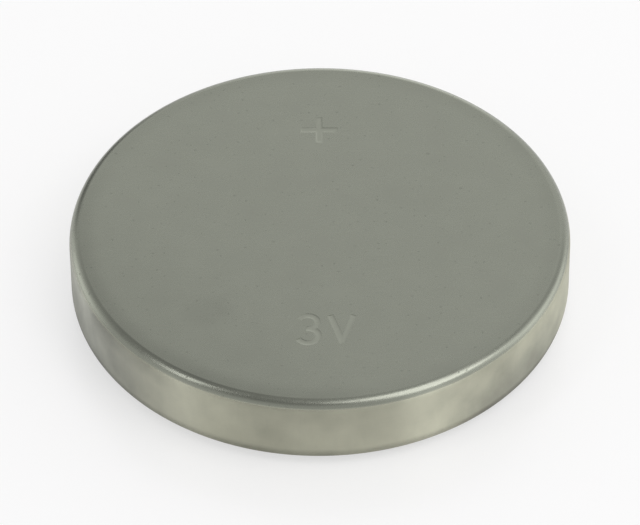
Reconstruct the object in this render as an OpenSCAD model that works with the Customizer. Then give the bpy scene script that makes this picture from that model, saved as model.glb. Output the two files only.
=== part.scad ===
// Lithium coin cell, a button-shaped primary cell of 3 volts.
//
// A drawn steel can, the positive pole, is closed by a stepped steel cap, the
// negative pole, with a plastic gasket squeezed between them by the can's
// rolled rim. Inside, from the cap up: a lithium disc, a cup-shaped separator,
// a pressed cathode pellet, and a steel mesh that joins the pellet to the can.
//
// Millimetres, +Z up. The cell lies on its negative face, the positive face is
// up, and the origin is the centre of the negative face.

/* [Cell] */
// Outer diameter of the cell
cell_d = 20; // [16:0.1:25]
// Height from the negative face to the positive face
cell_h = 3.2; // [2.9:0.05:4.5]

/* [Positive can] */
// Thickness of the can's steel
can_t = 0.25; // [0.18:0.01:0.3]
// Outer radius of the corner between the can's base and its wall
can_corner_r = 0.45; // [0.35:0.01:0.7]
// Outer radius of the roll that closes the rim
crimp_r = 0.6; // [0.5:0.01:0.7]
// Angle that the rim is rolled through, from the upright wall
crimp_angle = 100; // [90:1:110]
// Straight length of the lip past the roll
crimp_lip = 0.4; // [0.2:0.01:0.6]
// How far the negative face stands proud of the rolled rim
face_projection = 0.12; // [0.05:0.01:0.2]

/* [Polarity mark] */
// Length of each bar of the plus sign stamped into the can's base
mark_length = 1.5; // [0.8:0.1:3]
// Width of each bar
mark_width = 0.26; // [0.1:0.01:0.6]
// Depth of the stamping
mark_depth = 0.03; // [0.01:0.005:0.08]
// Distance from the axis to the middle of the plus sign
mark_offset = 5.9; // [2:0.1:7]

/* [Gasket] */
// Thickness of the gasket between the can's wall and the cap's wall
gasket_t = 0.4; // [0.3:0.01:0.5]
// Thickness of the gasket where the rolled lip squeezes it on the cap's shoulder
gasket_squeeze = 0.16; // [0.1:0.01:0.3]
// Thickness of the foot between the cap's edge and the can's base
gasket_foot_t = 0.4; // [0.2:0.01:0.6]
// Thickness of the inner lip that holds the cap's edge
gasket_lip_t = 0.2; // [0.1:0.01:0.3]
// Height of the inner lip past the cap's edge
gasket_lip_h = 0.5; // [0.2:0.01:0.9]
// Width of gasket that shows inside the rolled lip
gasket_show = 0.12; // [0.05:0.01:0.3]

/* [Negative cap] */
// Thickness of the cap's steel
cap_t = 0.25; // [0.18:0.01:0.3]
// Outer radius round the raised negative face
cap_corner_r = 0.32; // [0.3:0.01:0.4]
// Radius in the angle between the raised face's wall and the shoulder
cap_fillet_r = 0.12; // [0.05:0.01:0.15]
// Width of flat shoulder that shows inside the gasket
shoulder_show = 0.2; // [0.05:0.01:0.5]
// Outer radius between the shoulder and the cap's wall
cap_shoulder_r = 0.35; // [0.3:0.01:0.5]

/* [Electrodes] */
// Thickness of the lithium disc
anode_t = 0.6; // [0.3:0.01:0.8]
// Gap between the lithium disc and the wall of the cap's raised face
anode_clearance = 0.3; // [0.1:0.01:1]
// Thickness of the separator
separator_t = 0.15; // [0.05:0.01:0.25]
// Height of the separator's turned-up wall, from its underside
separator_h = 1.3; // [0.4:0.01:1.5]
// Gap between the separator and the wall of the cap's raised face
separator_clearance = 0.12; // [0.05:0.01:0.3]
// Gap between the separator's wall and the pellet
pellet_clearance = 0.08; // [0.02:0.01:0.3]
// Chamfer round the pellet's two edges
pellet_chamfer = 0.15; // [0.05:0.01:0.3]

/* [Cathode collector] */
// Thickness of the expanded mesh
mesh_t = 0.1; // [0.05:0.01:0.15]
// Distance between openings along their long diagonal
mesh_long_pitch = 2.4; // [2:0.05:3]
// Distance between openings along their short diagonal
mesh_short_pitch = 1.4; // [1.3:0.05:2]
// Width of a strand
mesh_strand = 0.26; // [0.15:0.01:0.4]
// Width of the solid border round the mesh
mesh_border = 0.35; // [0.2:0.01:0.6]

/* [Hidden] */
$fn = 128;
arc_steps = 10;     // straight steps that draw one round of a section
cut_through = 0.5;  // how far a cutting shape reaches past the face it opens

cell_r = cell_d / 2;
base_z = cell_h - can_t;  // inner face of the can's base

// Centres of the can's two rounds
can_corner_c = [cell_r - can_corner_r, cell_h - can_corner_r];
crimp_c = [cell_r - crimp_r, face_projection + crimp_r];

// Direction of the lip, inwards from the end of the roll
lip_way = [-sin(crimp_angle), -cos(crimp_angle)];

// End of the can's lip, at the depth o below the can's outer surface
function lip_end(o) =
    crimp_c + (crimp_r - o) * [cos(crimp_angle), -sin(crimp_angle)]
    + crimp_lip * lip_way;

// The gasket's visible edge, the cap's shoulder and the wall of its raised face
gasket_tip = lip_end(can_t) + gasket_show * lip_way;
shoulder_z = lip_end(can_t).y + gasket_squeeze;
crown_r = gasket_tip.x - shoulder_show - cap_fillet_r;
cap_wall_r = cell_r - can_t - gasket_t;
cap_edge_z = base_z - gasket_foot_t;
gasket_inner_r = cap_wall_r - cap_t - gasket_lip_t;

// Radii of the electrode stack, from the inside of the raised face inwards
crown_inner_r = crown_r - cap_t;
anode_r = crown_inner_r - anode_clearance;
separator_r = crown_inner_r - separator_clearance;
pellet_r = separator_r - separator_t - pellet_clearance;
mesh_r = pellet_r - pellet_chamfer;

// Heights of the electrode stack, from the cap up
anode_z = cap_t;
separator_z = anode_z + anode_t;
pellet_z = separator_z + separator_t;
mesh_z = base_z - mesh_t;

// Points on a round, from the angle a to the angle b
function arc(centre, r, a, b) = [
    for (i = [0:arc_steps])
        let (t = a + (b - a) * i / arc_steps)
            centre + r * [cos(t), sin(t)]
];

function reversed(points) = [for (i = [len(points) - 1:-1:0]) points[i]];

// The can's rounds and lip, at the depth o below its outer surface
function can_side(o) = concat(
    arc(can_corner_c, can_corner_r - o, 90, 0),
    arc(crimp_c, crimp_r - o, 0, -crimp_angle),
    [lip_end(o)]
);

// The cap's shoulder and wall, at the depth o below its outer surface
function cap_side(o) = concat(
    arc([cap_wall_r - cap_shoulder_r, shoulder_z + cap_shoulder_r], cap_shoulder_r - o, -90, 0),
    [[cap_wall_r - o, cap_edge_z]]
);

// The whole cap from its centre out, at the depth o below its outer surface
function cap_profile(o) = concat(
    [[0, o]],
    arc([crown_r - cap_corner_r, cap_corner_r], cap_corner_r - o, -90, 0),
    arc([crown_r + cap_fillet_r, shoulder_z - cap_fillet_r], cap_fillet_r + o, 180, 90),
    cap_side(o)
);

// A flat disc between two heights
module disc(r, z, h) {
    translate([0, 0, z])
        cylinder(r = r, h = h);
}

// Plus sign stamped into the positive face
module polarity_mark() {
    translate([0, mark_offset, cell_h - mark_depth])
        for (size = [[mark_length, mark_width], [mark_width, mark_length]])
            translate([-size.x / 2, -size.y / 2, 0])
                cube([size.x, size.y, mark_depth + cut_through]);
}

// Staggered diamonds of an expanded mesh, out to the radius r
module mesh_openings(r) {
    a = mesh_long_pitch / 2;
    b = mesh_short_pitch / 2;
    open = 1 - mesh_strand / 2 * norm([a, b]) / (a * b);
    for (i = [-ceil(r / a):ceil(r / a)], j = [-ceil(r / b):ceil(r / b)])
        if ((i + j) % 2 == 0 && norm([i * a, j * b]) < r)
            translate([i * a, j * b])
                polygon(open * [[a, 0], [0, b], [-a, 0], [0, -b]]);
}

// Drawn can: flat base, wall and rolled rim in one sheet
module positive_can() {
    color("silver")
        difference() {
            rotate_extrude()
                polygon(concat(
                    [[0, cell_h]], can_side(0),
                    reversed(can_side(can_t)), [[0, base_z]]
                ));
            polarity_mark();
        }
}

// Pressed cap: raised face, shoulder and wall in one sheet
module negative_cap() {
    color("lightgray")
        rotate_extrude()
            polygon(concat(cap_profile(0), reversed(cap_profile(cap_t))));
}

// Moulded gasket: it fills the room between the can and the cap, round the cap's edge
module gasket() {
    color("dimgray")
        rotate_extrude()
            polygon(concat(
                [[gasket_inner_r, base_z]],
                can_side(can_t),
                [gasket_tip, [gasket_tip.x, shoulder_z]],
                cap_side(0),
                [
                    [cap_wall_r - cap_t, cap_edge_z],
                    [cap_wall_r - cap_t, cap_edge_z - gasket_lip_h],
                    [gasket_inner_r, cap_edge_z - gasket_lip_h],
                ]
            ));
}

// Lithium disc pressed onto the inside of the cap
module lithium_anode() {
    color("gainsboro")
        disc(anode_r, anode_z, anode_t);
}

// Nonwoven separator, a shallow cup between the lithium and the pellet
module separator() {
    color("ivory")
        difference() {
            disc(separator_r, separator_z, separator_h);
            disc(separator_r - separator_t, pellet_z, separator_h);
        }
}

// Cathode powder pressed into a disc, with chamfered edges
module cathode_pellet() {
    c = pellet_chamfer;
    color([0.16, 0.16, 0.17])
        rotate_extrude()
            polygon([
                [0, pellet_z], [pellet_r - c, pellet_z], [pellet_r, pellet_z + c],
                [pellet_r, mesh_z - c], [pellet_r - c, mesh_z], [0, mesh_z],
            ]);
}

// Expanded steel mesh between the pellet and the can's base
module cathode_collector() {
    color("darkgray")
        difference() {
            disc(mesh_r, mesh_z, mesh_t);
            translate([0, 0, mesh_z - cut_through])
                linear_extrude(mesh_t + 2 * cut_through)
                    intersection() {
                        circle(mesh_r - mesh_border);
                        mesh_openings(mesh_r);
                    }
        }
}

positive_can();
negative_cap();
gasket();
lithium_anode();
separator();
cathode_pellet();
cathode_collector();
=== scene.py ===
"""Lithium coin cell: its pieces, their finishes and a small studio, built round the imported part.

Lengths are in metres, in the part's own frame: the cell lies on its negative face at z = 0, its
axis is Z, its positive face is up, and the plus sign stands towards +Y.
"""

import math

import bmesh
import bpy
from bpy.props import FloatProperty, FloatVectorProperty, IntProperty, PointerProperty
from mathutils import Matrix, Vector


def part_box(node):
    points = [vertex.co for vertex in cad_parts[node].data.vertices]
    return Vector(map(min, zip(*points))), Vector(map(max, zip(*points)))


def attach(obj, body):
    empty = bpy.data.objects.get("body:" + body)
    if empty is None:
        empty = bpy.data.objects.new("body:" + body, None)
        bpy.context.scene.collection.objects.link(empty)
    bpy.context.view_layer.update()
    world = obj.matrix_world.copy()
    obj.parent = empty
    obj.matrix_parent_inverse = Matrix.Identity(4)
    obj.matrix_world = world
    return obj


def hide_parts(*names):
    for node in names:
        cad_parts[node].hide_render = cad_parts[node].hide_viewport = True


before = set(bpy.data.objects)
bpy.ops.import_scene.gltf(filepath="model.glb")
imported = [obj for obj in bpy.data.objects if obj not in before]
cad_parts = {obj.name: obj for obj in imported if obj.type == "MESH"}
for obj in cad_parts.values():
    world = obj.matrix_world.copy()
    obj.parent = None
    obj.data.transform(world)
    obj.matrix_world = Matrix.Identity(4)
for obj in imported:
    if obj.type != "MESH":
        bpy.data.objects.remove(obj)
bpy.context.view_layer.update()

bl_info = {
    "name": "Lithium Coin Cell",
    "version": (1, 0, 0),
    "blender": (4, 5, 0),
    "location": "3D View > Sidebar > Coin Cell",
    "description": "Builds a lithium coin cell, its finishes and a small studio",
    "category": "Add Mesh",
}

MM = 0.001
BODY = "root"
HOLD = 0.05 * MM  # distance from a round to the ring of edges that keeps the flat beside it flat
LEVEL = 0.999999  # upward share of a face's normal from which the face counts as level
WALL_FROM = 66  # degrees round the can's corner, from its base, where the wall's finish begins
LAMP_DISTANCE = 350 * MM


def low(node):
    """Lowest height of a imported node."""
    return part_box(node)[0].z


def high(node):
    """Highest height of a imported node."""
    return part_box(node)[1].z


def reach(node):
    """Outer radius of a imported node."""
    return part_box(node)[1].x


def extent(node):
    """Outer radius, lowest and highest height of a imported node."""
    return reach(node), low(node), high(node)


CELL_R = reach("positive_can")
CELL_H = high("positive_can")
BASE_Z = high("gasket")  # inner face of the can's base
SHEET = CELL_H - BASE_Z  # thickness of the can's steel
CAP_R = reach("negative_cap")
CAP_EDGE = high("negative_cap")
CAP_SHEET = low("lithium_anode")  # thickness of the cap's steel


# ---------------------------------------------------------------- sizes and colours


def length(name, description, value):
    """A size in metres."""
    return FloatProperty(
        name=name, description=description, default=value, min=0.0, precision=5, unit="LENGTH"
    )


def angle(name, description, degrees):
    """An angle, given in degrees."""
    return FloatProperty(
        name=name, description=description, default=math.radians(degrees), unit="ROTATION"
    )


def colour(name, description, rgb):
    """A linear colour."""
    return FloatVectorProperty(
        name=name, description=description, default=rgb, size=3, min=0.0, max=1.0, subtype="COLOR"
    )


class CellSteps(bpy.types.PropertyGroup):
    """How finely round shapes are divided."""

    around: IntProperty(
        name="Steps around", description="Steps in one turn round the axis", default=288, min=24
    )
    round: IntProperty(
        name="Steps in a round", description="Steps in one round of a section", default=14, min=2
    )


class CanSizes(bpy.types.PropertyGroup):
    """Sizes of the positive can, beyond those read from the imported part."""

    corner_r: length("Corner radius", "Outer radius between the base and the wall", 0.45 * MM)
    fall_width: length("Fall width", "Width over which the base falls towards its corner", 1.00 * MM)
    fall: length("Fall", "How far the base falls towards its corner", 0.020 * MM)
    crimp_r: length("Crimp radius", "Outer radius of the rolled rim", 0.60 * MM)
    crimp_angle: angle("Crimp angle", "Angle that the rim is rolled through", 100)
    crimp_lip: length("Lip", "Straight length of the lip past the roll", 0.40 * MM)
    edge_r: length("Cut edge", "Rounding of the lip's trimmed edge", 0.04 * MM)
    mark_length: length("Plus length", "Length of each bar of the plus sign", 1.50 * MM)
    mark_width: length("Plus width", "Width of each bar of the plus sign", 0.26 * MM)
    mark_depth: length("Plus depth", "Depth of the stamped plus sign", 0.014 * MM)
    mark_draft: length("Plus draft", "Width of the slope beside a bar of the plus sign", 0.12 * MM)
    mark_offset: length("Mark offset", "Distance from the axis to the plus sign", 5.90 * MM)
    rating_height: length("Rating height", "Height of the voltage's characters", 1.80 * MM)
    rating_width: length("Rating width", "Width of the voltage's characters together", 2.42 * MM)
    rating_depth: length("Rating depth", "Depth of the stamped voltage", 0.011 * MM)
    rating_offset: length("Rating offset", "Distance from the axis to the voltage", 5.74 * MM)
    rating_shift: length("Rating shift", "How far the voltage stands to the right", 0.23 * MM)


class CapSizes(bpy.types.PropertyGroup):
    """Sizes of the negative cap."""

    corner_r: length("Corner radius", "Outer radius round the raised negative face", 0.32 * MM)
    fillet_r: length("Fillet radius", "Radius between the raised face's wall and shoulder", 0.12 * MM)
    shoulder_r: length("Shoulder radius", "Outer radius between shoulder and wall", 0.35 * MM)
    shoulder_show: length("Shoulder width", "Flat shoulder that shows inside the gasket", 0.20 * MM)
    edge_r: length("Cut edge", "Rounding of the cap's trimmed edge", 0.05 * MM)


class GasketSizes(bpy.types.PropertyGroup):
    """Sizes of the gasket."""

    squeeze: length("Squeezed thickness", "Thickness under the rolled lip's end", 0.16 * MM)
    show: length("Visible width", "Width that shows inside the rolled lip", 0.12 * MM)
    lip_t: length("Inner lip", "Thickness of the lip inside the cap's edge", 0.20 * MM)
    lip_h: length("Inner lip height", "Height of that lip past the cap's edge", 0.50 * MM)
    edge_r: length("Edge rounding", "Rounding of the moulded edges", 0.05 * MM)


class ElectrodeSizes(bpy.types.PropertyGroup):
    """Sizes of what lies inside the cell."""

    disc_edge_r: length("Lithium edge", "Rounding of the punched lithium disc", 0.10 * MM)
    pleat_depth: length("Pleat depth", "How deep the separator's wall is pleated", 0.03 * MM)
    pleats: IntProperty(name="Pleats", description="Pleats round the separator", default=36, min=3)
    pellet_chamfer: length("Pellet chamfer", "Chamfer round the pellet's edges", 0.15 * MM)
    pellet_edge_r: length("Pellet edge", "Rounding of the chamfer's edges", 0.05 * MM)
    mesh_long: length("Mesh long way", "Distance between openings, the long way", 2.40 * MM)
    mesh_short: length("Mesh short way", "Distance between openings, the short way", 1.40 * MM)
    mesh_strand: length("Strand", "Width of a strand of the mesh", 0.26 * MM)
    mesh_border: length("Border", "Width of the border round the mesh", 0.35 * MM)


class CellColours(bpy.types.PropertyGroup):
    """Base colours of the cell's finishes."""

    can: colour("Can base", "Nickel-plated steel of the can's base", (0.288, 0.301, 0.254))
    can_wall: colour("Can wall", "Nickel-plated steel of the can's drawn wall", (0.484, 0.484, 0.386))
    # painted shade: the colour that the wall is greyed towards at its left end and near its right
    painted_wall_shade: colour("Painted wall shade", "Painted shade on the can's wall", (0.400, 0.410, 0.385))
    cap: colour("Cap steel", "Nickel-plated steel of the cap", (0.44, 0.44, 0.415))
    gasket: colour("Gasket", "Moulded plastic of the gasket", (0.026, 0.026, 0.028))
    lithium: colour("Lithium", "Rolled lithium", (0.42, 0.42, 0.44))
    lithium_film: colour("Lithium film", "Dull film on lithium", (0.20, 0.20, 0.22))
    separator: colour("Separator", "Nonwoven separator", (0.80, 0.80, 0.76))
    pellet: colour("Pellet", "Pressed cathode mix", (0.020, 0.020, 0.022))
    collector: colour("Collector", "Expanded steel mesh", (0.40, 0.40, 0.39))
    floor: colour("Floor", "Studio floor", (0.95, 0.95, 0.95))


class StudioSettings(bpy.types.PropertyGroup):
    """Camera, lamps and floor."""

    elevation: angle("Camera elevation", "Camera's height above the horizon", 43.45)
    roll: angle("Camera roll", "Turn of the camera about its own axis", 0.43)
    distance: length("Camera distance", "Distance from the cell to the camera", 200 * MM)
    raise_by: length("Aim above base", "How far above the cell's base the view is centred", 0.976 * MM)
    lens: FloatProperty(name="Lens", description="Focal length", default=278.9, unit="CAMERA")
    floor_size: length("Floor", "Width of the floor", 2.0)
    key: FloatProperty(name="Key lamp", description="Radiance of the right lamp", default=2.25, min=0.0)
    fill: FloatProperty(name="Fill lamp", description="Radiance of the left lamp", default=3.0, min=0.0)


# ---------------------------------------------------------------- shapes


def direction(azimuth, elevation):
    """The way to a place that stands at an azimuth, 0 towards -Y and 90 towards +X, in degrees."""
    a, e = math.radians(azimuth), math.radians(elevation)
    return Vector((math.sin(a) * math.cos(e), -math.cos(a) * math.cos(e), math.sin(e)))


def arc(centre, radius, start, end, steps):
    """Points (r, z) on a round of a section, from one angle to another, in degrees."""
    turns = [math.radians(start + (end - start) * i / steps) for i in range(steps + 1)]
    return [(centre[0] + radius * math.cos(t), centre[1] + radius * math.sin(t)) for t in turns]


def rounded(before, corner, after, radius, steps=6):
    """Points (r, z) that round a section's sharp corner, going from one neighbour to the other."""
    corner = Vector(corner)
    a, b = (Vector(before) - corner).normalized(), (Vector(after) - corner).normalized()
    half = a.angle(b) / 2
    run = radius / math.tan(half)
    centre = corner + (a + b).normalized() * radius / math.sin(half)
    start, end = (corner + a * run - centre).normalized(), (corner + b * run - centre).normalized()
    return [tuple(centre + start.slerp(end, i / steps) * radius) for i in range(steps + 1)]


def turned(section, steps, closed=False):
    """A bmesh of a section (r, z) turned once round Z, its faces pointing outwards."""
    bm = bmesh.new()
    points = [bm.verts.new((r, 0, z)) for r, z in section]
    edges = [bm.edges.new(pair) for pair in zip(points, points[1:])]
    if closed:
        edges.append(bm.edges.new((points[-1], points[0])))
    bmesh.ops.spin(
        bm, geom=points + edges, cent=(0, 0, 0), axis=(0, 0, 1), angle=math.tau, steps=steps, use_merge=True
    )
    bmesh.ops.remove_doubles(bm, verts=bm.verts, dist=0.0005 * MM)
    bmesh.ops.recalc_face_normals(bm, faces=bm.faces)
    return bm


def smooth(bm, sharp=24):
    """Smooths a bmesh but for edges sharper than the angle, in degrees."""
    for face in bm.faces:
        face.smooth = True
    for edge in bm.edges:
        edge.smooth = len(edge.link_faces) == 2 and edge.calc_face_angle() < math.radians(sharp)


def mesh_object(name, bm):
    """Makes an object of a bmesh."""
    smooth(bm)
    mesh = bpy.data.meshes.new(name)
    bm.to_mesh(mesh)
    bm.free()
    obj = bpy.data.objects.new(name, mesh)
    bpy.context.scene.collection.objects.link(obj)
    return obj


def seat(obj, node, finish):
    """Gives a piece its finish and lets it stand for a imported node."""
    obj.data.materials.append(finish)
    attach(obj, BODY)
    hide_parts(node)


def combine(obj, other, operation):
    """Cuts another mesh out of a piece or joins it on, and removes it. The solver works in
    millimetres, where it keeps shallow cuts."""
    for made in (obj, other):
        made.data.transform(Matrix.Scale(1 / MM, 4))
    step = obj.modifiers.new("combine", "BOOLEAN")
    step.operation, step.solver, step.use_self, step.object = operation, "EXACT", True, other
    graph = bpy.context.evaluated_depsgraph_get()
    bm = bmesh.new()
    bm.from_mesh(obj.evaluated_get(graph).to_mesh())
    obj.modifiers.clear()
    bpy.data.objects.remove(other)
    smooth(bm)
    bm.to_mesh(obj.data)
    bm.free()
    obj.data.transform(Matrix.Scale(MM, 4))


# ---------------------------------------------------------------- shader maths


class Value:
    """A shader value. Arithmetic on it adds Math nodes."""

    def __init__(self, finish, socket):
        self.finish, self.socket = finish, socket

    def maths(self, operation, *others):
        """This value and others, put through a Math node."""
        return self.finish.add("ShaderNodeMath", {"operation": operation}, [self, *others])

    def reflected(self, operation, other):
        """Another value and this one, in that order, put through a Math node."""
        return self.finish.add("ShaderNodeMath", {"operation": operation}, [other, self])

    def __add__(self, other):
        return self.maths("ADD", other)

    def __sub__(self, other):
        return self.maths("SUBTRACT", other)

    def __rsub__(self, other):
        return self.reflected("SUBTRACT", other)

    def __mul__(self, other):
        return self.maths("MULTIPLY", other)

    def __pow__(self, other):
        return self.maths("POWER", other)

    __radd__, __rmul__ = __add__, __mul__

    def sway(self, amount):
        """A noise from 0 to 1 made to swing by an amount in all, half of it each side of 0."""
        return (self - 0.5) * amount

    def ramp(self, start, end):
        """0 at start, 1 at end, smooth between. It falls where start is past end."""
        settings = {"interpolation_type": "SMOOTHSTEP"}
        if start > end:
            return 1 - self.ramp(end, start)
        return self.finish.add("ShaderNodeMapRange", settings, [self, start, end])


class Finish:
    """A material's or world's nodes, with one way to add each."""

    def __init__(self, tree):
        self.tree = tree
        tree.nodes.clear()

    def add(self, kind, settings=(), inputs=(), output=0):
        """Adds a node, with its settings first, then the values or links of its sockets."""
        node = self.tree.nodes.new(kind)
        for key, value in dict(settings).items():
            setattr(node, key, value)
        sockets = inputs.items() if isinstance(inputs, dict) else enumerate(inputs)
        for key, value in sockets:
            if isinstance(value, Value):
                self.tree.links.new(value.socket, node.inputs[key])
            else:
                node.inputs[key].default_value = value
        return Value(self, node.outputs[output]) if node.outputs else None

    def place(self):
        """Object coordinates."""
        return self.add("ShaderNodeTexCoord", output="Object")

    def axes(self, vector):
        """The three numbers of a vector."""
        outputs = self.add("ShaderNodeSeparateXYZ", inputs=[vector]).socket.node.outputs
        return [Value(self, outputs[i]) for i in range(3)]

    def noise(self, vector, size, stretch=(1, 1, 1), detail=2.0, turn=0.0, shift=0.0):
        """Noise from 0 to 1 with grains of a size in metres. The pattern is turned first, in
        degrees, then stretched along the axes and shifted by a number of grains."""
        scale = [1 / (size * s) for s in stretch]
        if turn:
            turned_by = (0, 0, math.radians(turn))
            vector = self.add("ShaderNodeMapping", inputs={"Vector": vector, "Rotation": turned_by})
        inputs = {"Vector": vector, "Location": (0, 0, shift), "Scale": scale}
        vector = self.add("ShaderNodeMapping", inputs=inputs)
        return self.add("ShaderNodeTexNoise", inputs={"Vector": vector, "Scale": 1.0, "Detail": detail})

    def cells(self, vector, size):
        """Distance from 0 to about 1 in a pattern of cells of a size in metres."""
        return self.add("ShaderNodeTexVoronoi", inputs={"Vector": vector, "Scale": 1 / size})

    def towards(self, vector, azimuth, elevation):
        """How far a vector reaches towards an azimuth and elevation, in degrees."""
        way = tuple(direction(azimuth, elevation))
        return self.add("ShaderNodeVectorMath", {"operation": "DOT_PRODUCT"}, [vector, way], output="Value")

    def blend(self, a, b, factor):
        """A colour between two colours."""
        inputs = {i: v if isinstance(v, Value) else (*v, 1.0) for i, v in ((6, a), (7, b))}
        return self.add("ShaderNodeMix", {"data_type": "RGBA"}, {0: factor, **inputs}, output=2)

    def shade(self, colour, amount):
        """A colour made lighter or darker by a value round 1."""
        grey = self.add("ShaderNodeCombineXYZ", inputs=[amount, amount, amount])
        base = colour if isinstance(colour, Value) else tuple(colour)
        return self.add("ShaderNodeVectorMath", {"operation": "MULTIPLY"}, [base, grey])

    def bump(self, height, depth):
        """A normal from a height of 0 to 1 that stands for a depth in metres."""
        return self.add("ShaderNodeBump", inputs={"Strength": 1.0, "Distance": depth, "Height": height})

    def principled(self, **inputs):
        """A Principled BSDF."""
        named = {key.replace("_", " ").title().replace("Ior", "IOR"): v for key, v in inputs.items()}
        return self.add("ShaderNodeBsdfPrincipled", inputs=named)

    def surface(self, shader):
        """Ends a material."""
        self.add("ShaderNodeOutputMaterial", inputs=[shader])


def material(name):
    """A new material and its nodes."""
    made = bpy.data.materials.new(name)
    made.use_nodes = True
    return made, Finish(made.node_tree)


# ---------------------------------------------------------------- finishes


def radius_of(x, y):
    """Distance from the cell's axis."""
    return (x * x + y * y) ** 0.5


def rings_round(f, x, y, z, size):
    """Fine rings round the cell's axis, of a size in metres."""
    section = f.add("ShaderNodeCombineXYZ", inputs=[radius_of(x, y), z, 0.0])
    return f.noise(section, size, detail=2.0)


def scratches(f, place, turns):
    """Fine straight scratches in some directions, in degrees: 1 on a scratch and 0 beside it."""
    worn = 0
    for turn in turns:
        lines = f.noise(place, 0.05 * MM, stretch=(45, 1, 1), detail=1.0, turn=turn)
        patches = f.noise(place, 1.3 * MM, detail=1.0, turn=turn + 30)
        worn = worn + lines.ramp(0.66, 0.74) * patches.ramp(0.50, 0.62)
    return worn


def wall_distance(x, y, z, azimuth, height, across, upright):
    """Distance from a spot on the can's wall, with its two directions weighted."""
    spot = direction(azimuth, 0) * CELL_R
    return radius_of(radius_of(x - spot.x, y - spot.y) * across, (z - height) * upright)


def painted_shade_stretch(f, place):
    """1 on a short stretch of the can's corner that is painted darker, painted shade, and 0 beside it."""
    return f.towards(place, -51, 0).ramp(0.950 * CELL_R, 0.990 * CELL_R)


def wall_finish(colours):
    """Nickel plate of the drawn wall: fine rings left by the die, upright streaks, blotches and painted
    shade.
    """
    made, f = material("can_wall_nickel")
    place = f.place()
    x, y, z = f.axes(place)
    rim = low("positive_can")

    rings = rings_round(f, x, y, z, 0.03 * MM)
    streaks = f.noise(place, 0.45 * MM, stretch=(1, 1, 5), detail=3.0)
    mottle = f.noise(place, 1.0 * MM, detail=5.0)
    # Random stains, shifted so that they also paint lighter highlight bands and darker shade on the wall.
    stains_and_painted_bands = f.noise(place, 3.4 * MM, detail=2.0, shift=15.4)
    grain = f.noise(place, 0.045 * MM, detail=2.0)
    # Painted shade: the wall turns darker and greyer at its left end and on a stretch near its right.
    from_left = wall_distance(x, y, z, -76, 1.0 * MM, 1.0, 1.3) + mottle.sway(2.0 * MM)
    from_right = wall_distance(x, y, z, 54, 0.6 * MM, 0.75, 1.6) + mottle.sway(1.0 * MM)
    left = from_left.ramp(6.0 * MM, 0.8 * MM)
    right = from_right.ramp(3.7 * MM, 0.6 * MM)
    grey = from_left.ramp(9.0 * MM, 2.0 * MM) * 0.65 + right * 0.3
    # painted shade: the roll, where it nears the floor, is made darker
    rolled = z.ramp(rim + 0.75 * MM, rim + 0.45 * MM)
    # painted shade: a short stretch of the wall's top is darker
    shoulder = painted_shade_stretch(f, place) * z.ramp(CELL_H - 1.1 * MM, CELL_H - 0.45 * MM)

    tone = 1 + streaks.sway(0.16) + mottle.sway(0.27) + stains_and_painted_bands.sway(0.66)
    tone = tone + rings.sway(0.06) + grain.sway(0.06) - rolled * 0.30
    tone = tone - left * left * 0.28 - right * 0.33 - shoulder * 0.17
    roughness = 0.40 - rolled * 0.06 + streaks.sway(0.10) + rings.sway(0.08) + grain.sway(0.04)
    f.surface(
        f.principled(
            base_color=f.shade(f.blend(colours.can_wall, colours.painted_wall_shade, grey), tone),
            metallic=1.0,
            roughness=roughness,
            anisotropic=1.0,
            anisotropic_rotation=0.25,
            normal=f.bump(rings * 0.7 + grain * 0.3, 0.0008 * MM),
        )
    )
    return made


def can_finish(colours, can):
    """Satin nickel plate of the base and its corner: rolled grain, scratches, a darker left side and
    painted shade.
    """
    made, f = material("can_nickel")
    place = f.place()
    x, y, z = f.axes(place)
    r = radius_of(x, y)

    wall = r.ramp(CELL_R - 0.18 * can.corner_r, CELL_R - 0.03 * can.corner_r)
    base = z.ramp(CELL_H - 0.12 * MM, CELL_H - 0.06 * MM)
    # painted shade: the base is darker towards its rim
    edge = r.ramp(CELL_R - 1.3 * MM, CELL_R - can.corner_r) * base
    sunk = z.ramp(CELL_H - 0.001 * MM, CELL_H - 0.010 * MM) * base
    sunk = sunk * r.ramp(CELL_R - 1.6 * MM, CELL_R - 1.9 * MM)
    # the base is darker towards its left side, most of all near its rim
    film = f.towards(place, -48, 0).ramp(3.5 * MM, 9.0 * MM) * base
    film = film * r.ramp(CELL_R - 0.60 * can.corner_r, CELL_R - 0.86 * can.corner_r)
    # painted shade: the same stretch of the corner is darker
    shoulder = painted_shade_stretch(f, place) * r.ramp(CELL_R - 0.24 * can.corner_r, CELL_R - 0.08 * can.corner_r)

    grain = f.noise(place, 0.045 * MM, detail=3.0)
    mottle = f.noise(place, 1.1 * MM, detail=4.0)
    clouds = f.noise(place, 3.2 * MM, detail=2.0)
    smudge = radius_of(x + 4.4 * MM + mottle.sway(1.2 * MM), y + 4.7 * MM).ramp(1.3 * MM, 0.3 * MM)
    rolling = f.noise(place, 0.06 * MM, stretch=(26, 1, 1), detail=2.0)
    worn = scratches(f, place, (25, -50, 100))
    pits = f.noise(place, 0.16 * MM, detail=0.0).ramp(0.74, 0.82)
    lines = base * rolling.sway(0.5)
    blotches = mottle.sway(1.0) + clouds.sway(0.7)

    tone = 1 + blotches * 0.09 + grain.sway(0.03) + lines * 0.07 - edge * 0.05
    tone = tone - film * 0.06 - film * edge * 0.09 - shoulder * 0.17
    tone = tone + sunk * 0.14 + worn * base * 0.05 - pits * 0.10 - smudge * base * 0.06
    roughness = 0.27 + blotches * 0.06 + grain.sway(0.05) + lines * 0.06 + sunk * 0.16
    roughness = roughness - wall * 0.03 - worn * 0.03 + pits * 0.10
    relief = 0.5 + grain.sway(0.35) + lines * 0.30 - worn * base * 0.30 - pits * 0.5
    f.surface(
        f.principled(
            base_color=f.shade(f.blend(colours.can, colours.can_wall, wall), tone),
            metallic=1.0,
            roughness=roughness,
            normal=f.bump(relief, 0.0014 * MM),
        )
    )
    return made


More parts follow.
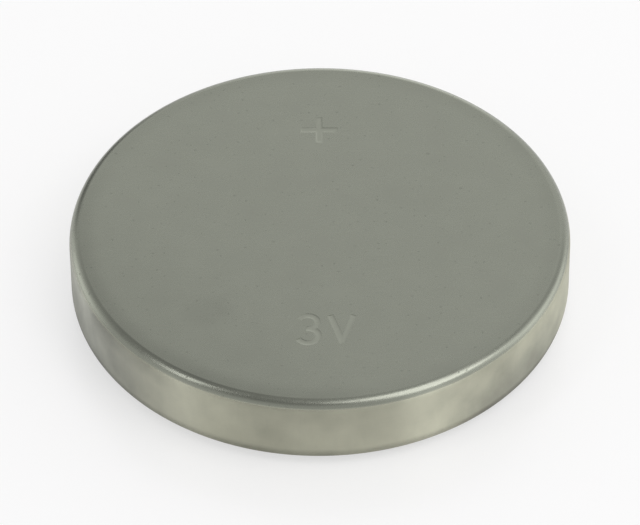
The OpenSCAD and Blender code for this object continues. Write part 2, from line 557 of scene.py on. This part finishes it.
def cap_finish(colours):
    """Satin nickel plate with fine rings on the cap's rounds and contact scratches on its face."""
    made, f = material("cap_nickel")
    place = f.place()
    x, y, z = f.axes(place)
    stack_r = reach("separator")

    rings = rings_round(f, x, y, z, 0.05 * MM)
    face = z.ramp(0.05 * MM, 0.02 * MM)
    grain = f.noise(place, 0.05 * MM, detail=3.0)
    mottle = f.noise(place, 1.4 * MM, detail=3.0)
    rolling = f.noise(place, 0.06 * MM, stretch=(26, 1, 1), detail=2.0)
    worn = scratches(f, place, (10, -35, 80))
    rubbed = radius_of(x, y).ramp(stack_r - 1.1 * MM, stack_r - 0.2 * MM) * face

    tone = 1 + mottle.sway(0.20) + grain.sway(0.08) + rings.sway(0.08) + rubbed * 0.07
    tone = tone + worn * face * 0.16 + rolling.sway(0.10) * face
    roughness = 0.29 + mottle.sway(0.08) + grain.sway(0.06) - rubbed * 0.05 - worn * 0.05
    relief = 0.5 + grain.sway(0.5) + (1 - face) * rings.sway(0.8) - worn * face * 0.4
    f.surface(
        f.principled(
            base_color=f.shade(colours.cap, tone),
            metallic=1.0,
            roughness=roughness,
            normal=f.bump(relief, 0.0014 * MM),
        )
    )
    return made


def gasket_finish(colours):
    """Moulded plastic with a fine matt grain and flow marks round the ring."""
    made, f = material("gasket_polymer")
    place = f.place()
    grain = f.noise(place, 0.03 * MM, detail=2.0)
    flow = f.noise(place, 0.7 * MM, stretch=(1, 1, 0.4), detail=3.0)
    f.surface(
        f.principled(
            base_color=f.shade(colours.gasket, 1 + flow.sway(0.5) + grain.sway(0.2)),
            roughness=0.42 + flow.sway(0.15) + grain.sway(0.10),
            normal=f.bump(grain * 0.6 + flow * 0.4, 0.003 * MM),
        )
    )
    return made


def lithium_finish(colours):
    """Soft rolled metal, silvery between dull patches of film."""
    made, f = material("rolled_lithium")
    place = f.place()
    rolling = f.noise(place, 0.08 * MM, stretch=(1, 40, 1), detail=3.0)
    grain = f.noise(place, 0.06 * MM, detail=3.0)
    patches = f.noise(place, 1.8 * MM, detail=5.0)
    film = patches.ramp(0.42, 0.66)
    tone = 1 + rolling.sway(0.16) + grain.sway(0.10)
    relief = rolling * 0.5 + grain * 0.3 + patches * 0.2
    f.surface(
        f.principled(
            base_color=f.shade(f.blend(colours.lithium, colours.lithium_film, film), tone),
            metallic=1 - film * 0.35,
            roughness=0.36 + film * 0.26 + grain.sway(0.10) + rolling.sway(0.08),
            normal=f.bump(relief, 0.006 * MM),
        )
    )
    return made


def separator_finish(colours):
    """Nonwoven felt: fine fibres laid in every direction, thin and thick by turns."""
    made, f = material("separator_fibres")
    place = f.place()
    fibres = 0
    for turn in (0, 37, 74, 111, 148):
        laid = f.noise(place, 0.035 * MM, stretch=(14, 1, 1), detail=1.0, turn=turn)
        fibres = laid.ramp(0.52, 0.70).maths("MAXIMUM", fibres)
    cloud = f.noise(place, 0.9 * MM, detail=3.0)
    f.surface(
        f.principled(
            base_color=f.shade(colours.separator, 0.80 + fibres * 0.20 + cloud.sway(0.14)),
            roughness=0.82 - fibres * 0.12,
            normal=f.bump(fibres * 0.8 + cloud * 0.2, 0.012 * MM),
        )
    )
    return made


def pellet_finish(colours):
    """Pressed powder: dark grains with a faint sheen where the die rubbed them."""
    made, f = material("pressed_mix")
    place = f.place()
    grains = f.cells(place, 0.07 * MM)
    coarse = f.cells(place, 0.28 * MM)
    cloud = f.noise(place, 1.2 * MM, detail=4.0)
    glint = f.noise(place, 0.05 * MM, detail=0.0).ramp(0.68, 0.78)
    f.surface(
        f.principled(
            base_color=f.shade(colours.pellet, 1 + cloud.sway(0.7) + grains.sway(0.5) + glint * 1.6),
            roughness=0.66 + grains.sway(0.20) + cloud.sway(0.16) - glint * 0.20,
            normal=f.bump(grains * 0.6 + coarse * 0.25 + cloud * 0.15, 0.012 * MM),
        )
    )
    return made


def collector_finish(colours):
    """Expanded steel: rolled grain, lighter and darker in faint clouds."""
    made, f = material("expanded_steel")
    place = f.place()
    grain = f.noise(place, 0.04 * MM, detail=3.0)
    rolling = f.noise(place, 0.05 * MM, stretch=(20, 1, 1), detail=2.0)
    cloud = f.noise(place, 1.5 * MM, detail=3.0)
    tone = 1 + cloud.sway(0.25) + rolling.sway(0.15) + grain.sway(0.08)
    f.surface(
        f.principled(
            base_color=f.shade(colours.collector, tone),
            metallic=1.0,
            roughness=0.34 + cloud.sway(0.12) + rolling.sway(0.12),
            normal=f.bump(grain * 0.4 + rolling * 0.6, 0.002 * MM),
        )
    )
    return made


def floor_finish(rgb):
    """Pale, slightly glossy floor that keeps the cell's shadow."""
    made, f = material("studio_floor")
    outputs = f.add("ShaderNodeLightPath").socket.node.outputs
    camera_ray, glossy_ray, glass_ray = (
        Value(f, outputs[f"Is {kind} Ray"]) for kind in ("Camera", "Glossy", "Transmission")
    )
    white_share = camera_ray * 0.60 + glossy_ray * 0.08 + glass_ray * 0.60
    plain = f.principled(base_color=(*rgb, 1.0), roughness=0.30, ior=2.6)
    white = f.add("ShaderNodeEmission", inputs={"Color": (1.0, 1.0, 1.0, 1.0), "Strength": 1.0})
    f.surface(f.add("ShaderNodeMixShader", inputs=[white_share, plain, white]))
    return made


# ---------------------------------------------------------------- stamped marks


def bar(bm, size_x, size_y, can):
    """Adds one bar of a stamp: it narrows downwards, and its lower edges are rounded. Its middle
    height is the face's."""
    depth, draft = can.mark_depth, can.mark_draft
    corners = bmesh.ops.create_cube(bm, size=1.0)["verts"]
    for vert in corners:
        grow = 1.5 * draft if vert.co.z > 0 else -draft
        vert.co.x *= size_x + grow
        vert.co.y *= size_y + grow
        vert.co.z *= 2 * depth
    edges = {edge for vert in corners for edge in vert.link_edges}
    foot = [edge for edge in edges if all(vert.co.z < 0 for vert in edge.verts)]
    bmesh.ops.bevel(
        bm, geom=foot, offset=0.4 * depth, affect="EDGES", segments=3, profile=0.5, material=-1
    )


def plus_sign(can):
    """The stamp of the plus sign."""
    bm = bmesh.new()
    for size in ((can.mark_length, can.mark_width), (can.mark_width, can.mark_length)):
        bar(bm, *size, can)
    bmesh.ops.translate(bm, verts=bm.verts, vec=(0, can.mark_offset, CELL_H))
    return bm


def rating(can):
    """The stamp of the voltage: two bows and two straight strokes, each a flattened round bar.

    They are drawn round the origin, then scaled to size.
    """
    drawn_width, drawn_height, stroke_r, steps = 2.42, 1.85, 0.18, 24
    strokes = (
        arc((-0.72, 0.41), 0.37, 155, -100, steps),  # the number, from its upper bow
        arc((-0.72, -0.37), 0.41, 97, -155, steps),
        [(0.16, 0.80), (0.635, -0.80)],  # the letter
        [(0.605, -0.79), (1.08, 0.80)],
    )
    curve = bpy.data.curves.new("rating", "CURVE")
    curve.dimensions = "3D"
    curve.bevel_depth, curve.bevel_resolution, curve.use_fill_caps = stroke_r, 6, True
    for stroke in strokes:
        spline = curve.splines.new("POLY")
        spline.points.add(len(stroke) - 1)
        for point, (x, y) in zip(spline.points, stroke):
            point.co = (x, y, 0, 1)
    letters = bpy.data.objects.new("rating", curve)
    bpy.context.scene.collection.objects.link(letters)
    graph = bpy.context.evaluated_depsgraph_get()
    mesh = bpy.data.meshes.new_from_object(letters.evaluated_get(graph))
    bpy.data.objects.remove(letters)

    bm = bmesh.new()
    bm.from_mesh(mesh)
    bmesh.ops.remove_doubles(bm, verts=bm.verts, dist=0.0005)
    bmesh.ops.recalc_face_normals(bm, faces=bm.faces)
    flat_r = 0.03 * MM  # half the height of a flattened bar
    size = (can.rating_width / drawn_width, can.rating_height / drawn_height, flat_r / stroke_r)
    bmesh.ops.scale(bm, verts=bm.verts, vec=size)
    middle = (can.rating_shift, -can.rating_offset, CELL_H + flat_r - can.rating_depth)
    bmesh.ops.translate(bm, verts=bm.verts, vec=middle)
    return bm


# ---------------------------------------------------------------- sections


def base_fall(can, drop, steps):
    """Points (r, z) of the base, from its centre out. It is flat, then falls by a drop in all
    towards its corner, and ends one step short of it."""
    start = CELL_R - can.corner_r - can.fall_width
    parts = [i / steps for i in range(steps)]
    ramp = [(start + can.fall_width * part, CELL_H - drop * part * part) for part in parts]
    return [(0, CELL_H), (start - 20 * HOLD, CELL_H), *ramp]


def crimp_centre(can):
    """Centre (r, z) of the can's roll."""
    return CELL_R - can.crimp_r, low("positive_can") + can.crimp_r


def can_side(can, depth, steps, start=90):
    """The can's corner, wall and roll, at a depth below its outer surface."""
    corner = (CELL_R - can.corner_r, CELL_H - can.corner_r)
    return [
        *arc(corner, can.corner_r - depth, start, 0, steps),
        *arc(crimp_centre(can), can.crimp_r - depth, 0, -math.degrees(can.crimp_angle), steps),
    ]


def lip_end(can, depth, extra=0.0):
    """End of the can's lip at a depth below its outer surface, or a point past it."""
    r, z = crimp_centre(can)
    turn, run = can.crimp_angle, can.crimp_lip + extra
    return (
        r + (can.crimp_r - depth) * math.cos(turn) - run * math.sin(turn),
        z - (can.crimp_r - depth) * math.sin(turn) - run * math.cos(turn),
    )


def shoulder_height(can, gasket):
    """Height of the cap's shoulder."""
    return lip_end(can, SHEET)[1] + gasket.squeeze


def crown_radius(can, cap, gasket):
    """Radius of the wall of the cap's raised face."""
    return lip_end(can, SHEET, gasket.show)[0] - cap.shoulder_show - cap.fillet_r


def cap_side(can, cap, gasket, depth, steps):
    """The cap's shoulder round and wall, at a depth below its outer surface."""
    centre = (CAP_R - cap.shoulder_r, shoulder_height(can, gasket) + cap.shoulder_r)
    return arc(centre, cap.shoulder_r - depth, -90, 0, steps)


def cap_profile(can, cap, gasket, depth, steps):
    """The whole cap from its centre out to its wall, at a depth below its outer surface."""
    crown_r, shoulder_z = crown_radius(can, cap, gasket), shoulder_height(can, gasket)
    corner = (crown_r - cap.corner_r, cap.corner_r)
    fillet = (crown_r + cap.fillet_r, shoulder_z - cap.fillet_r)
    return [
        (0, depth),
        (corner[0] - HOLD, depth),
        *arc(corner, cap.corner_r - depth, -90, 0, steps),
        *arc(fillet, cap.fillet_r + depth, 180, 90, steps),
        *cap_side(can, cap, gasket, depth, steps),
    ]


# ---------------------------------------------------------------- studio


# Soft patches of the studio's walls: azimuth and elevation in degrees, the cosines of the angles
# to the patch's edge and to its full strength, and the strength, below 0 where it is darker
SKY_PATCHES = (
    (108, 12, 0.90, 0.98, 0.62),
    (96, 34, 0.93, 0.985, 0.46),
    (122, 40, 0.90, 0.97, -0.28),
    (125, 73, 0.955, 0.995, 0.56),
    (166, 60, 0.972, 0.995, 0.30),
    (-124, 8, 0.90, 0.98, 0.60),
    (-155, 4, 0.86, 0.96, -0.75),
    (-128, 68, 0.950, 0.990, 0.15),
    (180, 8, 0.94, 0.99, 0.80),
)


def lamp(name, way, turn, size, radiance, rgb):
    """An area lamp that faces the cell from one way, turned about its own axis in degrees."""
    data = bpy.data.lights.new(name, "AREA")
    data.shape = "RECTANGLE"
    data.size, data.size_y = size
    data.energy = radiance * math.pi * size[0] * size[1]
    data.color = rgb
    obj = bpy.data.objects.new(name, data)
    facing = way.to_track_quat("Z", "Y").to_matrix() @ Matrix.Rotation(math.radians(turn), 3, "Z")
    obj.location = way * LAMP_DISTANCE
    obj.rotation_euler = facing.to_euler()
    obj.visible_camera = False
    bpy.context.scene.collection.objects.link(obj)


def strip(x, y, azimuth):
    """1 on a tall strip of the studio's walls at an azimuth, in degrees, and 0 beside it."""
    a = math.radians(azimuth)
    across = (x * math.cos(a) + y * math.sin(a)).maths("ABSOLUTE")
    ahead = x * math.sin(a) - y * math.cos(a)
    return across.ramp(0.24, 0.04) * ahead.ramp(0.0, 0.3)


def sky(scene):
    """Grey studio walls: pale near the horizon, darker overhead and in front, with soft patches."""
    world = bpy.data.worlds.new("studio_walls")
    world.use_nodes = True
    scene.world = world
    f = Finish(world.node_tree)
    way = f.add("ShaderNodeTexCoord", output="Generated")
    x, y, z = f.axes(way)
    overhead = (z - x * 0.15).ramp(0.63, 0.90) * 0.64
    front = f.towards(way, -34, 15).ramp(0.15, 0.45) * z.ramp(0.92, 0.62)
    front = front * (0.40 + z.ramp(0.05, 0.50) * 0.30)
    strips = strip(x, y, 44) * 0.40 + strip(x, y, -62) * 0.17
    level = (0.97 - overhead) * (1 - front * 0.42) + strips * z.ramp(0.75, 0.50)
    for azimuth, elevation, start, end, strength in SKY_PATCHES:
        level = level + f.towards(way, azimuth, elevation).ramp(start, end) * strength
    tone = f.add("ShaderNodeCombineXYZ", inputs=[level, level, level])
    back = f.add("ShaderNodeBackground", inputs=[tone, 1.0])
    f.add("ShaderNodeOutputWorld", inputs=[back])


def camera(scene, studio):
    """A long lens that looks down at the cell from the front."""
    data = bpy.data.cameras.new("camera")
    data.lens = studio.lens
    data.sensor_width = 36.0
    data.clip_start, data.clip_end = 0.001, 10.0
    obj = bpy.data.objects.new("camera", data)
    back = direction(0, math.degrees(studio.elevation))
    facing = back.to_track_quat("Z", "Y").to_matrix().to_4x4()
    up = facing.col[1].xyz
    turn = Matrix.Rotation(-studio.roll, 4, "Z")
    place = Matrix.Translation(back * studio.distance + up * studio.raise_by)
    obj.matrix_world = place @ facing @ turn
    scene.collection.objects.link(obj)
    scene.camera = obj


# ---------------------------------------------------------------- pieces


class MESH_OT_coin_cell_can(bpy.types.Operator):
    """Turn the positive can and stamp its marks"""

    bl_idname = "mesh.coin_cell_can"
    bl_label = "Positive Can"
    bl_options = {"REGISTER", "UNDO"}

    def execute(self, context):
        scene = context.scene
        can, steps = scene.coin_can, scene.coin_steps
        start = 90 - 2 * math.degrees(can.fall / can.fall_width)
        outer, inner = can_side(can, 0, steps.round, start), can_side(can, SHEET, steps.round)
        tip, tip_in = lip_end(can, 0), lip_end(can, SHEET)
        section = [
            *base_fall(can, CELL_H - outer[0][1], steps.round),
            *outer,
            *rounded(outer[-1], tip, tip_in, can.edge_r),
            *rounded(tip, tip_in, inner[-1], can.edge_r),
            *reversed(inner),
            (inner[0][0] - HOLD, BASE_Z),
            (0, BASE_Z),
        ]
        shell = mesh_object("can_shell", turned(section, steps.around))
        for name, made in (("plus_stamp", plus_sign(can)), ("rating_stamp", rating(can))):
            combine(shell, mesh_object(name, made), "DIFFERENCE")
        seat(shell, "positive_can", can_finish(scene.coin_colours, can))
        shell.data.materials.append(wall_finish(scene.coin_colours))
        self.split_finish(shell, can)
        return {"FINISHED"}

    def split_finish(self, shell, can):
        """Gives the outside of the wall and the roll the second finish, and shades the base flat,
        so that the edges of its marks cast no shading on it."""
        roll = Vector(crimp_centre(can))
        top = CELL_H - can.corner_r * (1 - math.cos(math.radians(WALL_FROM)))
        for face in shell.data.polygons:
            face.use_smooth = face.normal.z < LEVEL
            across = Vector((face.center.xy.length, face.center.z)) - roll
            facing = Vector((face.normal.xy.dot(face.center.xy.normalized()), face.normal.z))
            face.material_index = int(face.center.z < top and across.dot(facing) > 0)


class MESH_OT_coin_cell_cap(bpy.types.Operator):
    """Turn the negative cap"""

    bl_idname = "mesh.coin_cell_cap"
    bl_label = "Negative Cap"
    bl_options = {"REGISTER", "UNDO"}

    def execute(self, context):
        scene = context.scene
        steps = scene.coin_steps
        sizes = (scene.coin_can, scene.coin_cap, scene.coin_gasket)
        outer = cap_profile(*sizes, 0, steps.round)
        inner = cap_profile(*sizes, CAP_SHEET, steps.round)
        edge, edge_in = (CAP_R, CAP_EDGE), (CAP_R - CAP_SHEET, CAP_EDGE)
        section = [
            *outer,
            *rounded(outer[-1], edge, edge_in, scene.coin_cap.edge_r),
            *rounded(edge, edge_in, inner[-1], scene.coin_cap.edge_r),
            *reversed(inner),
        ]
        shell = mesh_object("cap_shell", turned(section, steps.around))
        seat(shell, "negative_cap", cap_finish(scene.coin_colours))
        return {"FINISHED"}


class MESH_OT_coin_cell_gasket(bpy.types.Operator):
    """Turn the gasket between the can and the cap"""

    bl_idname = "mesh.coin_cell_gasket"
    bl_label = "Gasket"
    bl_options = {"REGISTER", "UNDO"}

    def execute(self, context):
        scene = context.scene
        can, cap, gasket = scene.coin_can, scene.coin_cap, scene.coin_gasket
        steps = scene.coin_steps
        tip = lip_end(can, SHEET, gasket.show)
        foot = (tip[0], shoulder_height(can, gasket))
        outside = [*can_side(can, SHEET, steps.round), lip_end(can, SHEET)]
        shoulder = cap_side(can, cap, gasket, 0, steps.round)
        slot_r = CAP_R - CAP_SHEET
        inner_r = slot_r - gasket.lip_t
        lip = CAP_EDGE - gasket.lip_h
        rim, rim_in = (slot_r, lip), (inner_r, lip)
        section = [
            (inner_r, BASE_Z),
            *outside,
            *rounded(outside[-1], tip, foot, gasket.edge_r),
            *rounded(tip, foot, shoulder[0], gasket.edge_r),
            *shoulder,
            (CAP_R, CAP_EDGE),
            (slot_r, CAP_EDGE),
            *rounded((slot_r, CAP_EDGE), rim, rim_in, gasket.edge_r),
            *rounded(rim, rim_in, (inner_r, BASE_Z), gasket.edge_r),
        ]
        ring = mesh_object("gasket_ring", turned(section, steps.around, closed=True))
        seat(ring, "gasket", gasket_finish(scene.coin_colours))
        return {"FINISHED"}


class MESH_OT_coin_cell_lithium(bpy.types.Operator):
    """Turn the lithium disc"""

    bl_idname = "mesh.coin_cell_lithium"
    bl_label = "Lithium Disc"
    bl_options = {"REGISTER", "UNDO"}

    def execute(self, context):
        scene = context.scene
        radius, bottom, top = extent("lithium_anode")
        edge, burr = scene.coin_electrodes.disc_edge_r, 0.03 * MM
        section = [
            (0, bottom),
            (radius - 4 * HOLD, bottom),
            *rounded((0, bottom), (radius, bottom), (radius, top), burr),
            *arc((radius - edge, top - edge), edge, 0, 90, scene.coin_steps.round),
            (radius - edge - 4 * HOLD, top),
            (0, top),
        ]
        disc = mesh_object("lithium_disc", turned(section, scene.coin_steps.around))
        seat(disc, "lithium_anode", lithium_finish(scene.coin_colours))
        return {"FINISHED"}


class MESH_OT_coin_cell_separator(bpy.types.Operator):
    """Form the separator's cup, with a pleated wall"""

    bl_idname = "mesh.coin_cell_separator"
    bl_label = "Separator"
    bl_options = {"REGISTER", "UNDO"}

    def execute(self, context):
        scene = context.scene
        sizes, steps = scene.coin_electrodes, scene.coin_steps
        radius, bottom, top = extent("separator")
        floor = low("cathode_pellet")
        felt = floor - bottom
        inner_r = radius - felt
        bend, bend_in, edge = 0.20 * MM, 0.05 * MM, 0.05 * MM
        heights = [bottom + bend + (top - bottom - 2 * bend) * i / 6 for i in range(1, 6)]
        section = [
            (0, bottom),
            (radius - bend - 2 * HOLD, bottom),
            *arc((radius - bend, bottom + bend), bend, -90, 0, 8),
            *[(radius, z) for z in heights],
            *rounded((radius, bottom), (radius, top), (inner_r, top), edge),
            *rounded((radius, top), (inner_r, top), (inner_r, bottom), edge),
            *[(inner_r, z) for z in reversed(heights)],
            *arc((inner_r - bend_in, floor + bend_in), bend_in, 0, -90, 6),
            (inner_r - bend_in - 2 * HOLD, floor),
            (0, floor),
        ]
        bm = turned(section, steps.around)
        for vert in bm.verts:
            rise = (vert.co.z - floor) / (top - floor)
            if rise > 0 and vert.co.xy.length > inner_r - felt:
                wave = 0.5 - 0.5 * math.cos(sizes.pleats * math.atan2(vert.co.y, vert.co.x))
                shrink = 1 - sizes.pleat_depth * wave * rise / radius
                vert.co.x *= shrink
                vert.co.y *= shrink
        cup = mesh_object("separator_cup", bm)
        seat(cup, "separator", separator_finish(scene.coin_colours))
        return {"FINISHED"}


class MESH_OT_coin_cell_pellet(bpy.types.Operator):
    """Turn the pressed cathode pellet"""

    bl_idname = "mesh.coin_cell_pellet"
    bl_label = "Cathode Pellet"
    bl_options = {"REGISTER", "UNDO"}

    def execute(self, context):
        scene = context.scene
        sizes = scene.coin_electrodes
        radius, bottom, top = extent("cathode_pellet")
        cut = sizes.pellet_chamfer
        corners = [
            (0, bottom),
            (radius - cut, bottom),
            (radius, bottom + cut),
            (radius, top - cut),
            (radius - cut, top),
            (0, top),
        ]
        section = [corners[0], (radius - 3 * cut, bottom)]
        for before, corner, after in zip(corners, corners[1:], corners[2:]):
            section += rounded(before, corner, after, sizes.pellet_edge_r)
        section += [(radius - 3 * cut, top), corners[-1]]
        disc = mesh_object("pellet_disc", turned(section, scene.coin_steps.around))
        seat(disc, "cathode_pellet", pellet_finish(scene.coin_colours))
        return {"FINISHED"}


class MESH_OT_coin_cell_collector(bpy.types.Operator):
    """Expand the steel mesh between the pellet and the can"""

    bl_idname = "mesh.coin_cell_collector"
    bl_label = "Collector Mesh"
    bl_options = {"REGISTER", "UNDO"}

    def execute(self, context):
        scene = context.scene
        sizes = scene.coin_electrodes
        node, overlap = "cathode_collector", 0.08 * MM
        radius, bottom, top = extent(node)
        opening_r = radius - sizes.mesh_border
        lattice = mesh_object("mesh_strands", self.strands(sizes, opening_r + overlap, bottom, top))
        section = [(opening_r, bottom), (radius, bottom), (radius, top), (opening_r, top)]
        ring = turned(section, scene.coin_steps.around // 2, closed=True)
        border = mesh_object("collector_mesh", ring)
        combine(border, lattice, "UNION")
        seat(border, node, collector_finish(scene.coin_colours))
        return {"FINISHED"}

    def strands(self, sizes, clip_r, bottom, top):
        """Diamonds of strands, trimmed to a radius. They start as a square grid, slanted to the
        mesh's two pitches, and its squares are inset and opened."""
        a, b = sizes.mesh_long / 2, sizes.mesh_short / 2
        count = 2 * math.ceil(clip_r / (2 * b)) + 7
        trims, margin = 72, 2.6 * MM  # cuts round the edge, and how much grid is kept past it
        bm = bmesh.new()
        bmesh.ops.create_grid(bm, x_segments=count, y_segments=count, size=count / 2)
        skew = Matrix(((a, a, 0, 0), (b, -b, 0, 0), (0, 0, 1, 0), (0, 0, 0, 1)))
        bmesh.ops.transform(bm, matrix=skew, verts=bm.verts)
        spare = [v for v in bm.verts if v.co.xy.length > clip_r + margin]
        bmesh.ops.delete(bm, geom=spare, context="VERTS")
        openings = bm.faces[:]
        half = sizes.mesh_strand / 2
        bmesh.ops.inset_individual(bm, faces=openings, thickness=half, use_even_offset=True)
        bmesh.ops.delete(bm, geom=openings, context="FACES_ONLY")
        for i in range(trims):
            turn = math.tau * i / trims
            way = Vector((math.cos(turn), math.sin(turn), 0))
            bmesh.ops.bisect_plane(
                bm,
                geom=bm.verts[:] + bm.edges[:] + bm.faces[:],
                dist=0.0001 * MM,
                plane_co=way * clip_r,
                plane_no=way,
                clear_outer=True,
            )
        grown = bmesh.ops.extrude_face_region(bm, geom=bm.faces[:])["geom"]
        lifted = [v for v in grown if isinstance(v, bmesh.types.BMVert)]
        bmesh.ops.translate(bm, verts=lifted, vec=(0, 0, top - bottom))
        bmesh.ops.translate(bm, verts=bm.verts, vec=(0, 0, bottom))
        bmesh.ops.recalc_face_normals(bm, faces=bm.faces)
        return bm


class MESH_OT_coin_cell_studio(bpy.types.Operator):
    """Set up the floor, lamps, world and camera"""

    bl_idname = "mesh.coin_cell_studio"
    bl_label = "Studio"
    bl_options = {"REGISTER", "UNDO"}

    def execute(self, context):
        scene = context.scene
        studio = scene.coin_studio
        bm = bmesh.new()
        bmesh.ops.create_grid(bm, x_segments=1, y_segments=1, size=studio.floor_size / 2)
        floor = mesh_object("floor", bm)
        floor.data.materials.append(floor_finish(scene.coin_colours.floor))
        key_rgb, fill_rgb = (1.0, 0.98, 1.0), (0.99, 0.98, 1.0)
        lamp("key_lamp", direction(66, 63), 0, (0.19, 0.25), studio.key, key_rgb)
        lamp("fill_lamp", direction(-77, 55), 30, (0.055, 0.16), studio.fill, fill_rgb)
        sky(scene)
        camera(scene, studio)
        scene.view_settings.view_transform = "Standard"
        return {"FINISHED"}


# ---------------------------------------------------------------- panel


class VIEW3D_PT_coin_cell(bpy.types.Panel):
    """Lists the cell's pieces and their settings"""

    bl_label = "Coin Cell"
    bl_space_type = "VIEW_3D"
    bl_region_type = "UI"
    bl_category = "Coin Cell"

    def draw(self, context):
        for operator in OPERATORS:
            self.layout.operator(operator.bl_idname)
        for key in SETTINGS:
            group = getattr(context.scene, key)
            box = self.layout.box()
            box.label(text=type(group).__name__)
            for name in type(group).__annotations__:
                box.prop(group, name)


SETTINGS = {
    "coin_steps": CellSteps,
    "coin_can": CanSizes,
    "coin_cap": CapSizes,
    "coin_gasket": GasketSizes,
    "coin_electrodes": ElectrodeSizes,
    "coin_colours": CellColours,
    "coin_studio": StudioSettings,
}
OPERATORS = (
    MESH_OT_coin_cell_can,
    MESH_OT_coin_cell_cap,
    MESH_OT_coin_cell_gasket,
    MESH_OT_coin_cell_lithium,
    MESH_OT_coin_cell_separator,
    MESH_OT_coin_cell_pellet,
    MESH_OT_coin_cell_collector,
    MESH_OT_coin_cell_studio,
)
CLASSES = (*SETTINGS.values(), *OPERATORS, VIEW3D_PT_coin_cell)


def register():
    """Adds the cell's classes and settings to Blender."""
    for cls in CLASSES:
        bpy.utils.register_class(cls)
    for key, group in SETTINGS.items():
        setattr(bpy.types.Scene, key, PointerProperty(type=group))


def unregister():
    """Takes them away again."""
    for key in SETTINGS:
        delattr(bpy.types.Scene, key)
    for cls in reversed(CLASSES):
        bpy.utils.unregister_class(cls)


def main():
    """Builds every piece and the studio."""
    register()
    for operator in OPERATORS:
        getattr(bpy.ops.mesh, operator.bl_idname.split(".")[1])()


if __name__ == "__main__":
    main()
